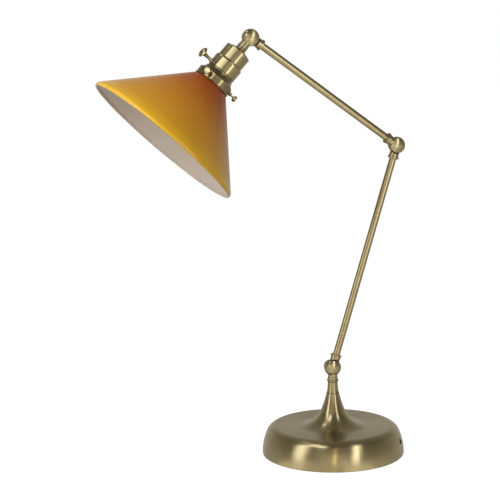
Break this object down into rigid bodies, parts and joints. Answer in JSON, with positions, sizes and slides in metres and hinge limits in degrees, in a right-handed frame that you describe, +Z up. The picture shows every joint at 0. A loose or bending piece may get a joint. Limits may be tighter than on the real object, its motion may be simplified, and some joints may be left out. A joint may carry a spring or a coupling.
{
  "type": "swing arm desk lamp",
  "caption": "Desk lamp with a weighted round base, tube arms joined by ball knuckles, a brass lampholder with a turn switch, and a cone glass shade.",
  "frame": {"origin": "middle of the base's underside, on the axis of the base and of its neck", "axes": "+Z up; the arms lie in the XZ plane and the shade reaches towards -X; the plain sides of the knuckles and the viewer are towards -Y, the clamp knobs towards +Y"},
  "size_m": [0.4768, 0.2544, 0.6585],
  "materials": {
    "antique_brass": "satin, brushed round each turned piece",
    "contact_brass": "bare",
    "steel": "zinc plated",
    "iron": "as cast, painted",
    "baize": "felt",
    "black_rubber": "matt",
    "fibre": "matt",
    "switch_plastic": "matt",
    "porcelain": "glazed",
    "amber_glass": "amber cased over opal white, gloss"
  },
  "bodies": {
    "base": {"base_shell": "antique_brass", "base_weight": "iron", "base_pad": "baize", "cord_grommet": "black_rubber", "stem_rod": "steel", "base_nut": "steel", "base_washer": "steel", "neck_coupler": "antique_brass"},
    "column": {"base_knuckle_front": "antique_brass", "base_knuckle_stud": "steel", "base_friction_washer": "fibre", "base_spring_washer": "steel"},
    "base_clamp_knob": {"base_clamp_knob": "antique_brass"},
    "lower_arm": {"base_knuckle_rear": "antique_brass", "lower_arm_tube": "antique_brass", "elbow_knuckle_rear": "antique_brass"},
    "upper_arm": {"elbow_knuckle_front": "antique_brass", "elbow_knuckle_stud": "steel", "elbow_friction_washer": "fibre", "elbow_spring_washer": "steel", "upper_arm_tube": "antique_brass", "head_knuckle_rear": "antique_brass"},
    "elbow_clamp_knob": {"elbow_clamp_knob": "antique_brass"},
    "head": {"head_knuckle_front": "antique_brass", "head_knuckle_stud": "steel", "head_friction_washer": "fibre", "head_spring_washer": "steel", "holder_nipple": "steel", "holder_nut": "steel", "lampholder_cap": "antique_brass", "lampholder_body": "antique_brass", "lampholder_skirt": "antique_brass", "holder_ring": "antique_brass", "shade_ring_nut": "antique_brass", "shade_gallery": "antique_brass", "socket_insulator": "porcelain", "lamp_screw_shell": "contact_brass", "centre_contact": "contact_brass", "switch_bush": "antique_brass", "glass_shade": "amber_glass"},
    "head_clamp_knob": {"head_clamp_knob": "antique_brass"},
    "switch": {"switch_knob": "antique_brass", "switch_rotor": "switch_plastic"},
    "gallery_screw_1": {"gallery_screw_1": "antique_brass"},
    "gallery_screw_2": {"gallery_screw_2": "antique_brass"},
    "gallery_screw_3": {"gallery_screw_3": "antique_brass"}
  },
  "joints": [
    {"name": "neck_swivel", "type": "hinge", "parent": "base", "child": "column", "pos_m": [0, 0, 0.113], "axis": [0, 0, 1], "range_deg": [-170, 170]},
    {"name": "base_joint", "type": "hinge", "parent": "column", "child": "lower_arm", "pos_m": [0, 0, 0.1355], "axis": [0, -1, 0], "range_deg": [-82.5, 117.5]},
    {"name": "elbow_joint", "type": "hinge", "parent": "lower_arm", "child": "upper_arm", "pos_m": [0.10675, 0, 0.47407], "axis": [0, -1, 0], "range_deg": [-171.2, 28.8]},
    {"name": "head_joint", "type": "hinge", "parent": "upper_arm", "child": "head", "pos_m": [-0.12657, 0, 0.64546], "axis": [0, -1, 0], "range_deg": [-182.8, 17.2]},
    {"name": "base_clamp", "type": "hinge", "parent": "column", "child": "base_clamp_knob", "pos_m": [0, 0.0145, 0.1355], "axis": [0, 1, 0], "continuous": true},
    {"name": "elbow_clamp", "type": "hinge", "parent": "upper_arm", "child": "elbow_clamp_knob", "pos_m": [0.10675, 0.0145, 0.47407], "axis": [0, 1, 0], "continuous": true},
    {"name": "head_clamp", "type": "hinge", "parent": "head", "child": "head_clamp_knob", "pos_m": [-0.12657, 0.0145, 0.64546], "axis": [0, 1, 0], "continuous": true},
    {"name": "switch_turn", "type": "hinge", "parent": "head", "child": "switch", "pos_m": [-0.18869, -0.00334, 0.61452], "axis": [-0.7183, -0.1392, 0.6817], "continuous": true},
    {"name": "gallery_screw_1_travel", "type": "slide", "parent": "head", "child": "gallery_screw_1", "axis": [0.6505, -0.1815, -0.7375], "range_m": [0, 0.004]},
    {"name": "gallery_screw_2_travel", "type": "slide", "parent": "head", "child": "gallery_screw_2", "axis": [-0.5293, -0.7575, 0.3821], "range_m": [0, 0.004]},
    {"name": "gallery_screw_3_travel", "type": "slide", "parent": "head", "child": "gallery_screw_3", "axis": [-0.3012, 0.9391, 0.1657], "range_m": [0, 0.004]}
  ]
}
